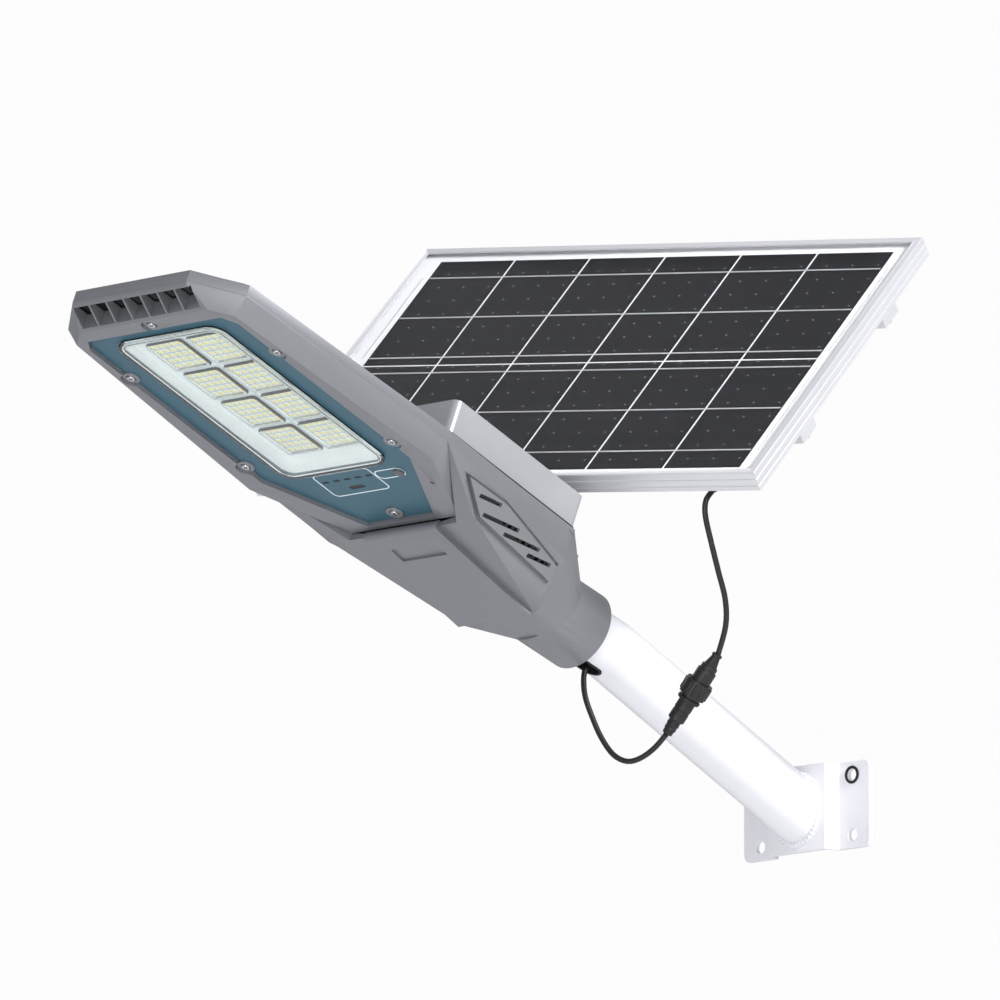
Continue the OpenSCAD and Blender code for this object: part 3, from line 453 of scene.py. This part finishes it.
def white_coat():
    return grained("white powder coat", finishes().coat_colour, rough=0.3, spread=0.12, cloud=0.03,
                   grain=900, fleck=0.015, bump=0.12, bump_mm=0.04, coat=0.35)


def cast_grey():
    return grained("grey casting", finishes().casting_colour, rough=0.42, spread=0.16, cloud=0.12,
                   cloud_scale=9, grain=2200, fleck=0.10, bump=0.22, bump_mm=0.04, metallic=0.35)


def lid_grey():
    return grained("battery lid grey", finishes().lid_colour, rough=0.38, spread=0.12, cloud=0.08,
                   cloud_scale=11, grain=1900, fleck=0.07, bump=0.18, bump_mm=0.04, metallic=0.3)


def plate_blue():
    return grained("blue plate paint", finishes().plate_colour, rough=0.45, spread=0.15, cloud=0.12,
                   cloud_scale=22, grain=2400, fleck=0.16, bump=0.2, bump_mm=0.04, metallic=0.15)


def black_rubber():
    return grained("black rubber", (0.010, 0.010, 0.011), rough=0.62, spread=0.15, cloud=0.2,
                   grain=1300, fleck=0.15, bump=0.2, specular=0.3)


def black_plastic():
    return grained("black plastic", (0.012, 0.012, 0.013), rough=0.42, spread=0.15, cloud=0.15,
                   grain=1700, fleck=0.12, bump=0.2, specular=0.4)


def dark_grey_plastic():
    return grained("button grey", (0.10, 0.10, 0.11), rough=0.45, grain=1700)


def reflector_white():
    # Painted light: the tray glows a little, to look brighter under the cover than the lights make it.
    return grained("reflector white", (0.84, 0.87, 0.87), rough=0.22, spread=0.1, cloud=0.08,
                   cloud_scale=40, grain=800, fleck=0.02, bump=0.08, coat=0.2, painted_glow=0.16)


def board_white():
    # Painted light: the boards glow a little, to look brighter under the lenses than the lights make them.
    return grained("light board white", (0.66, 0.72, 0.74), rough=0.35, cloud=0.3, cloud_scale=120,
                   grain=900, painted_glow=0.2)


def chip_yellow():
    # Painted light: the yellow domes glow to look brighter under the lenses, not as lit lamps.
    return grained("light chip yellow", (0.95, 0.80, 0.16), rough=0.4, cloud=0.2, cloud_scale=300,
                   grain=2500, painted_glow=0.4)


def chip_white():
    # Painted light: the chip bodies glow to look brighter under the lenses, not as lit lamps.
    return grained("light chip white", (0.90, 0.91, 0.86), rough=0.35, grain=2500, painted_glow=0.35)


def chrome():
    return grained("chromed screw", (0.62, 0.62, 0.63), rough=0.18, spread=0.1, cloud=0.1,
                   cloud_scale=200, grain=1200, bump=0.08, metallic=1.0)


def zinc():
    return grained("zinc plate", (0.50, 0.51, 0.52), rough=0.34, spread=0.2, cloud=0.25,
                   cloud_scale=150, grain=1400, fleck=0.1, bump=0.12, metallic=1.0)


def bracket_grey():
    return grained("bracket grey", (0.24, 0.24, 0.26), rough=0.4, cloud=0.1, grain=1800, fleck=0.1,
                   bump=0.2, metallic=0.3)


def anodised():
    return grained("anodised rail", finishes().rail_colour, rough=0.36, spread=0.12, cloud=0.05,
                   cloud_scale=25, grain=2600, fleck=0.04, bump=0.08, metallic=0.45)


def sheet_white():
    return grained("white back sheet", (0.80, 0.80, 0.82), rough=0.45, cloud=0.03, grain=700,
                   fleck=0.02, bump=0.06)


def ribbon_silver():
    return grained("tinned ribbon", (0.62, 0.62, 0.64), rough=0.36, cloud=0.3, cloud_scale=220,
                   grain=1500, metallic=0.25)


def print_white():
    return grained("printed line", (0.72, 0.82, 0.86), rough=0.5, grain=1500)


def board_green():
    return grained("board green", (0.02, 0.13, 0.06), rough=0.3, grain=1500, coat=0.3)


def cell_sleeve():
    return grained("cell sleeve blue", (0.03, 0.10, 0.36), rough=0.35, grain=1200)


def cord_black():
    return grained("cord black", (0.011, 0.011, 0.012), rough=0.4, spread=0.12, cloud=0.2,
                   cloud_scale=90, grain=1500, fleck=0.12, bump=0.12, specular=0.45)


def clear_cover():
    return clear_material("clear cover", (0.93, 0.97, 0.97), 0.03, 1.46)


def clear_lens():
    return clear_material("clear lens", (0.96, 0.98, 0.98), 0.06, 1.49)


def panel_glass():
    return clear_material("panel glass", (0.98, 0.99, 0.99), 0.03, 1.06, specular=0.1)


def silicon():
    if "cell silicon" in bpy.data.materials:
        return bpy.data.materials["cell silicon"]
    mat, tree, shader = blank_material("cell silicon")
    node = tree.nodes.new("ShaderNodeGroup")
    node.node_tree = cell_group()
    node.inputs["Colour"].default_value = (*finishes().cell_colour, 1)
    node.inputs["Print"].default_value = (0.55, 0.56, 0.60, 1)
    tree.links.new(node.outputs["Colour"], shader.inputs["Base Color"])
    shader.inputs["Roughness"].default_value = 0.35
    shader.inputs["Specular IOR Level"].default_value = 0.1
    return mat


# ---- Properties

class StreetLampSizes(bpy.types.PropertyGroup):
    edge_round: FloatProperty(
        name="Edge rounding", description="Share of the usual rounding on edges",
        default=1.0, min=0.2, max=1.5, subtype="FACTOR",
    )
    cord_diameter: FloatProperty(
        name="Cord diameter", description="Outside diameter of the panel's cord",
        default=0.0045, min=0.003, max=0.006, unit="LENGTH",
    )
    weld_ripples: IntProperty(
        name="Weld ripples", description="Ripples in the weld round the arm's foot",
        default=44, min=12, max=90,
    )
    camera_lens: FloatProperty(
        name="Camera lens", description="Focal length of the camera in millimetres",
        default=500.0, min=50.0, max=2000.0, unit="CAMERA",
    )
    view_width: FloatProperty(
        name="View width", description="Width that the camera sees at the lamp",
        default=0.7874, min=0.3, max=3.0, unit="LENGTH",
    )
    floor_drop: FloatProperty(
        name="Floor drop", description="How far the floor lies under the wall plate's middle",
        default=1.0, min=0.2, max=4.0, unit="LENGTH",
    )


class StreetLampFinishes(bpy.types.PropertyGroup):
    coat_colour: FloatVectorProperty(
        name="Arm coat", description="Powder coat of the arm and wall plate",
        subtype="COLOR", size=3, default=(0.80, 0.80, 0.84), min=0, max=1,
    )
    casting_colour: FloatVectorProperty(
        name="Casting", description="Paint of the lamp head's castings",
        subtype="COLOR", size=3, default=(0.222, 0.229, 0.246), min=0, max=1,
    )
    lid_colour: FloatVectorProperty(
        name="Battery lid", description="Paint of the battery lid",
        subtype="COLOR", size=3, default=(0.40, 0.41, 0.43), min=0, max=1,
    )
    plate_colour: FloatVectorProperty(
        name="Lamp plate", description="Paint of the plate round the light",
        subtype="COLOR", size=3, default=(0.042, 0.118, 0.165), min=0, max=1,
    )
    rail_colour: FloatVectorProperty(
        name="Panel rails", description="Anodised finish of the panel's frame",
        subtype="COLOR", size=3, default=(0.74, 0.74, 0.77), min=0, max=1,
    )
    cell_colour: FloatVectorProperty(
        name="Solar cells", description="Colour of the silicon",
        subtype="COLOR", size=3, default=(0.006, 0.006, 0.008), min=0, max=1,
    )


# ---- Operators

class StreetLampStage(bpy.types.Operator):
    """Makes the camera, the soft lights and the pale floor"""
    bl_idname = "street_lamp.stage"
    bl_label = "Stage"

    def execute(self, context):
        scene = context.scene
        scene.view_settings.view_transform = "Standard"
        aim = Vector(VIEW_AIM)
        azimuth, elevation = math.radians(VIEW_AZIMUTH), math.radians(VIEW_ELEVATION)
        back = Vector((
            math.sin(azimuth) * math.cos(elevation),
            -math.cos(azimuth) * math.cos(elevation),
            math.sin(elevation),
        ))
        data = bpy.data.cameras.new("camera")
        data.lens = sizes().camera_lens
        data.sensor_width = SENSOR_MM
        data.clip_end = 200.0
        camera = bpy.data.objects.new("camera", data)
        camera.location = aim + back * (sizes().view_width * data.lens / data.sensor_width)
        camera.rotation_euler = (-back).to_track_quat("-Z", "Y").to_euler()
        scene.collection.objects.link(camera)
        scene.camera = camera
        for light in LIGHTS:
            self.add_light(*light)
        self.add_world(scene)
        self.add_floor()
        return {"FINISHED"}

    def add_light(self, name, place, size, power):
        data = bpy.data.lights.new(name, "AREA")
        data.shape = "DISK"
        data.size = size
        data.energy = power
        light = bpy.data.objects.new(name, data)
        light.location = place
        light.rotation_euler = (Vector(LIGHT_AIM) - Vector(place)).to_track_quat("-Z", "Y").to_euler()
        bpy.context.scene.collection.objects.link(light)

    def add_world(self, scene):
        world = bpy.data.worlds.new("pale studio")
        scene.world = world
        world.use_nodes = True
        tree = world.node_tree
        seen = tree.nodes["Background"]
        seen.inputs["Color"].default_value = (0.98, 0.98, 0.98, 1)
        lit = tree.nodes.new("ShaderNodeBackground")
        lit.inputs["Color"].default_value = (0.95, 0.96, 1.0, 1)
        lit.inputs["Strength"].default_value = 0.5
        path = tree.nodes.new("ShaderNodeLightPath")
        mix = tree.nodes.new("ShaderNodeMixShader")
        tree.links.new(path.outputs["Is Camera Ray"], mix.inputs[0])
        tree.links.new(lit.outputs[0], mix.inputs[1])
        tree.links.new(seen.outputs[0], mix.inputs[2])
        tree.links.new(mix.outputs[0], tree.nodes["World Output"].inputs["Surface"])

    def add_floor(self):
        bm = bmesh.new()
        bmesh.ops.create_grid(bm, x_segments=1, y_segments=1, size=FLOOR_HALF)
        bmesh.ops.translate(bm, vec=(0, 0, -sizes().floor_drop), verts=bm.verts)
        mat, tree, shader = blank_material("pale floor")
        shader.inputs["Base Color"].default_value = (0.9, 0.9, 0.9, 1)
        shader.inputs["Roughness"].default_value = 0.9
        under = tree.nodes.new("ShaderNodeBsdfTransparent")
        side = tree.nodes.new("ShaderNodeNewGeometry")
        mix = tree.nodes.new("ShaderNodeMixShader")
        tree.links.new(side.outputs["Backfacing"], mix.inputs[0])
        tree.links.new(shader.outputs[0], mix.inputs[1])
        tree.links.new(under.outputs[0], mix.inputs[2])
        tree.links.new(mix.outputs[0], tree.nodes["Material Output"].inputs["Surface"])
        mesh = bpy.data.meshes.new("floor")
        bm.to_mesh(mesh)
        bm.free()
        mesh.materials.append(mat)
        floor = bpy.data.objects.new("floor", mesh)
        bpy.context.scene.collection.objects.link(floor)


def smooth_route(points, steps):
    """Points on a smooth curve through the route's points, in metres."""
    p = [Vector(q) * MM for q in points]
    out = []
    for i in range(len(p) - 1):
        a, b, c, d = p[max(i - 1, 0)], p[i], p[i + 1], p[min(i + 2, len(p) - 1)]
        for j in range(steps):
            t = j / steps
            out.append(0.5 * (2 * b + (c - a) * t + (2 * a - 5 * b + 4 * c - d) * t * t
                              + (3 * b - a - 3 * c + d) * t ** 3))
    out.append(p[-1])
    return out


def cord_tube(name, path):
    """A round mesh tube that follows the path."""
    curve = bpy.data.curves.new(name + "_line", "CURVE")
    curve.dimensions = "3D"
    curve.bevel_depth = sizes().cord_diameter / 2
    curve.bevel_resolution = 6
    curve.use_fill_caps = True
    spline = curve.splines.new("POLY")
    spline.points.add(len(path) - 1)
    for point, place in zip(spline.points, path):
        point.co = (*place, 1)
    line = bpy.data.objects.new(name + "_line", curve)
    mesh = bpy.data.meshes.new_from_object(line)
    mesh.name = name
    bpy.data.objects.remove(line)
    bpy.data.curves.remove(curve)
    mesh.materials.clear()
    mesh.materials.append(cord_black())
    shade(mesh, 60)
    obj = bpy.data.objects.new(name, mesh)
    bpy.context.scene.collection.objects.link(obj)
    return obj


class StreetLampCords(bpy.types.Operator):
    """Makes the panel's cord, the lamp's cord and the connector between them"""
    bl_idname = "street_lamp.cords"
    bl_label = "Cords and connector"

    def execute(self, context):
        black = black_plastic()
        socket = add_piece("socket_boot", turned(SOCKET_PROFILE), "lamp", black,
                           ("socket_half",), ON_LINK, 40)
        plug = add_piece("plug_boot", turned(PLUG_PROFILE), "lamp", black, ("plug_half",),
                         ON_LINK, 40)
        nut = refine("coupling_nut", black, 0.5)
        dress("link_seal", black_rubber())
        upper_path = smooth_route(UPPER_ROUTE, 6)
        lower_path = smooth_route(LOWER_ROUTE, 5)
        lamp_path = smooth_route(LAMP_ROUTE, 4)
        upper = cord_tube("panel_cord_top", upper_path)
        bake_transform(upper)
        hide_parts("panel_cord_upper")
        lower = cord_tube("panel_cord_end", lower_path)
        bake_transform(lower)
        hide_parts("panel_cord_lower")
        lamp = cord_tube("lamp_cord_loop", lamp_path)
        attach(lamp, "lamp")
        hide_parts("lamp_cord")
        return {"FINISHED"}


class StreetLampArm(bpy.types.Operator):
    """Finishes the wall plate, the arm and the weld between them"""
    bl_idname = "street_lamp.arm"
    bl_label = "Wall plate and arm"

    def execute(self, context):
        coat = white_coat()
        refine("wall_plate", coat, 0.9, 3)
        refine("arm_tube", coat, 0.5, 2)
        refine("anchor_ring", black_rubber(), 0.3)
        dress("cable_bung", black_rubber())
        self.weld(coat)
        return {"FINISHED"}

    def weld(self, coat):
        """A rippled bead, round the oval where the arm meets the plate."""
        bm = bmesh.new()
        ring = bmesh.ops.create_circle(bm, segments=12, radius=WELD_BEAD * MM)["verts"]
        upright = Matrix.Rotation(math.pi / 2, 3, "X")
        bmesh.ops.rotate(bm, verts=ring, cent=(0, 0, 0), matrix=upright)
        bmesh.ops.translate(bm, verts=ring, vec=(WELD_RADIUS * MM, 0, 0))
        bmesh.ops.spin(bm, geom=bm.verts[:] + bm.edges[:], cent=(0, 0, 0), axis=(0, 0, 1), angle=math.tau,
                       steps=WELD_STEPS, use_merge=True)
        ripples = sizes().weld_ripples
        for v in bm.verts:
            turn = math.atan2(v.co.y, v.co.x)
            core = Vector((math.cos(turn), math.sin(turn), 0)) * WELD_RADIUS * MM
            swell = (1 + RIPPLE_DEPTH * math.sin(ripples * turn)
                     + DRIFT_DEPTH * math.sin(DRIFT_WAVES * turn + 1))
            v.co = core + (v.co - core) * swell
        bmesh.ops.rotate(bm, verts=bm.verts, cent=(0, 0, 0), matrix=upright)
        bmesh.ops.scale(bm, vec=(1, 1, 1 / math.cos(ARM_PITCH)), verts=bm.verts)
        add_piece("weld_bead_rippled", bm, "lamp", coat, ("weld_bead",),
                  at(0, WELD_Y, 0), 50)


class StreetLampHead(bpy.types.Operator):
    """Finishes the castings of the lamp head"""
    bl_idname = "street_lamp.head"
    bl_label = "Lamp head castings"

    def execute(self, context):
        grey = cast_grey()
        refine("lamp_housing", grey, 1.0, 2, 24)
        refine("lamp_bezel", grey, 0.8, 2, 28)
        refine("chin_cover", grey, 0.9, 3, 28)
        refine("side_grilles", grey, 0.9, 3)
        for node in ("tip_screen", "vent_screens"):
            dress(node, black_plastic())
        dress("collar_screws", zinc())
        return {"FINISHED"}


class StreetLampLight(bpy.types.Operator):
    """Makes the light: its plate, cover, lenses, chips, screws and controls"""
    bl_idname = "street_lamp.light"
    bl_label = "Light panel"

    def execute(self, context):
        refine("lamp_plate", plate_blue(), 0.4)
        # Painted light: the tray, the boards and the chips below get materials that glow.
        refine("reflector_tray", reflector_white(), 0.6)
        dress("module_boards", board_white())
        dress("status_lenses", black_plastic())
        dress("power_switch", black_plastic())
        dress("control_board", board_green())
        dress("lens_seal", black_rubber())
        refine("power_button", dark_grey_plastic(), 0.5, 3)
        refine("lens_cover", clear_cover(), 1.0, 3)
        refine("lamp_screws", chrome(), 0.3)
        self.lenses()
        self.chips()
        self.screw_tabs()
        self.print_lines()
        return {"FINISHED"}

    def module_places(self):
        for x in (-0.5, 0.5):
            for i in range(MODULE_ROWS):
                yield x * MODULE_PITCH, LIGHT_MID_Y + (i - (MODULE_ROWS - 1) / 2) * MODULE_PITCH

    def lenses(self):
        parts = []
        for x, y in self.module_places():
            bm = rounded_plate(LENS_SIDE, LENS_SIDE, LENS_CORNER, LENS_THICK)
            low = [f for f in bm.faces if f.calc_center_median().z < 0.1 * MM]
            bmesh.ops.bevel(bm, geom=[e for f in low for e in f.edges], offset=LENS_EDGE * MM,
                            offset_type="OFFSET",
                            segments=3, profile=0.5, affect="EDGES", material=-1)
            face = min(bm.faces, key=lambda f: f.calc_center_median().z)
            bmesh.ops.inset_region(bm, faces=[face], thickness=LENS_RIM * MM, depth=0)
            bmesh.ops.inset_region(bm, faces=[face], thickness=LENS_STEP * MM, depth=-LENS_DISH * MM)
            parts.append((bm, at(x, y, LENS_Z)))
        add_piece("module_lenses_clear", joined(parts), "lamp", clear_lens(),
                  ("module_lenses",), ON_HEAD, 40)

    def chips(self):
        bodies, domes = [], []
        middle = (CHIPS_A_SIDE - 1) / 2
        for x, y in self.module_places():
            for i in range(CHIPS_A_SIDE):
                for j in range(CHIPS_A_SIDE):
                    cx, cy = x + (i - middle) * CHIP_STEP, y + (j - middle) * CHIP_STEP
                    base = bmesh.new()
                    bmesh.ops.create_cube(base, size=1)
                    bmesh.ops.scale(base, vec=(CHIP_SIDE * MM, CHIP_SIDE * MM, CHIP_THICK * MM),
                                    verts=base.verts)
                    bodies.append((base, at(cx, cy, CHIP_Z)))
                    dome = bmesh.new()
                    bmesh.ops.create_cone(dome, cap_ends=True, segments=12, radius1=DOME_LOW_R * MM,
                                          radius2=DOME_TOP_R * MM, depth=DOME_THICK * MM)
                    domes.append((dome, at(cx, cy, DOME_Z)))
        # Painted light: both chip pieces take glowing materials that stand in for light reaching them under
        # the lenses.
        add_piece("light_chips_body", joined(bodies), "lamp", chip_white(), (),
                  ON_HEAD)
        add_piece("light_chips_glow", joined(domes), "lamp", chip_yellow(),
                  ("light_chips",), ON_HEAD)

    def screw_tabs(self):
        """Dished grey tabs that the screws hold the plate down with."""
        parts = []
        for x, y in SCREW_PLACES:
            bm = turned(TAB_PROFILE, 32)
            parts.append((bm, at(x, y, PLATE_FACE)))
        add_piece("screw_tabs", joined(parts), "lamp", cast_grey(), (), ON_HEAD, 40)

    def print_lines(self):
        """The pale printed lines round the status windows and the button."""
        lines = ((WINDOW_LINE, WINDOW_AT), (BUTTON_LINE, BUTTON_AT))
        parts = [(outline_band(*line, PRINT_THICK), at(*place, PLATE_FACE - PRINT_LIFT)) for line,
                 place in lines]
        add_piece("status_print", joined(parts), "lamp", print_white(), (), ON_HEAD)


class StreetLampBattery(bpy.types.Operator):
    """Finishes the battery box on the deck"""
    bl_idname = "street_lamp.battery"
    bl_label = "Battery box"

    def execute(self, context):
        refine("battery_lid", lid_grey(), 1.6, 4)
        refine("battery_gasket", black_rubber(), 0.5)
        refine("lid_screws", zinc(), 0.3)
        dress("battery_holder", black_plastic())
        dress("battery_cells", cell_sleeve())
        return {"FINISHED"}


class StreetLampBracket(bpy.types.Operator):
    """Finishes the swivel and the tilting hinge that carry the panel"""
    bl_idname = "street_lamp.bracket"
    bl_label = "Panel bracket"

    def execute(self, context):
        grey = bracket_grey()
        refine("swivel_foot", grey, 0.7)
        refine("swivel_turret", grey, 0.8)
        refine("panel_arm", grey, 0.7)
        for node in ("foot_screws", "swivel_nut", "tilt_bolt", "tilt_nut", "rail_screws"):
            refine(node, zinc(), 0.35)
        return {"FINISHED"}


class StreetLampPanel(bpy.types.Operator):
    """Finishes the solar panel, its frame, rails and junction box"""
    bl_idname = "street_lamp.panel"
    bl_label = "Solar panel"

    def execute(self, context):
        rail = anodised()
        for node in ("frame_left", "frame_right", "frame_top", "frame_bottom"):
            refine(node, rail, 0.25, 2)
        for node in ("cross_rail_lower", "cross_rail_upper"):
            refine(node, rail, 0.5)
        dress("corner_keys", rail)
        dress("panel_glass", panel_glass())
        dress("solar_cells", silicon())
        dress("cell_ribbons", ribbon_silver())
        dress("back_sheet", sheet_white())
        refine("junction_box", black_plastic(), 0.8)
        refine("junction_lid", black_plastic(), 0.6)
        refine("cord_gland", black_plastic(), 0.4)
        self.end_ribbons()
        return {"FINISHED"}

    def end_ribbons(self):
        """Thin ribbons down both margins that join the rows' ribbons."""
        parts = []
        for side in (-1, 1):
            for low, high in END_RIBBON_SPANS:
                bm = rounded_plate(END_RIBBON_WIDTH, high - low, 0, END_RIBBON_THICK)
                x = PANEL_MID_X + side * END_RIBBON_X
                parts.append((bm, at(x, PANEL_MID_Y + (low + high) / 2, END_RIBBON_Z)))
        add_piece("end_ribbons", joined(parts), "panel", ribbon_silver(), (), ON_HINGE)


class StreetLampPanelUI(bpy.types.Panel):
    """Lists the street lamp's pieces in the sidebar"""
    bl_idname = "VIEW3D_PT_street_lamp"
    bl_label = "Street Lamp"
    bl_space_type = "VIEW_3D"
    bl_region_type = "UI"
    bl_category = "Street Lamp"

    def draw(self, context):
        layout = self.layout
        for step in STEPS:
            layout.operator(step.bl_idname)
        for group in (context.scene.street_lamp_sizes, context.scene.street_lamp_finishes):
            for name in group.__annotations__:
                layout.prop(group, name)


STEPS = (StreetLampStage, StreetLampCords, StreetLampArm, StreetLampHead, StreetLampLight, StreetLampBattery,
         StreetLampBracket, StreetLampPanel)
CLASSES = (StreetLampSizes, StreetLampFinishes, *STEPS, StreetLampPanelUI)


def register():
    for cls in CLASSES:
        bpy.utils.register_class(cls)
    bpy.types.Scene.street_lamp_sizes = PointerProperty(type=StreetLampSizes)
    bpy.types.Scene.street_lamp_finishes = PointerProperty(type=StreetLampFinishes)


def unregister():
    del bpy.types.Scene.street_lamp_finishes
    del bpy.types.Scene.street_lamp_sizes
    for cls in reversed(CLASSES):
        bpy.utils.unregister_class(cls)


def main():
    register()
    for step in STEPS:
        family, action = step.bl_idname.split(".")
        getattr(getattr(bpy.ops, family), action)()


if __name__ == "__main__":
    main()
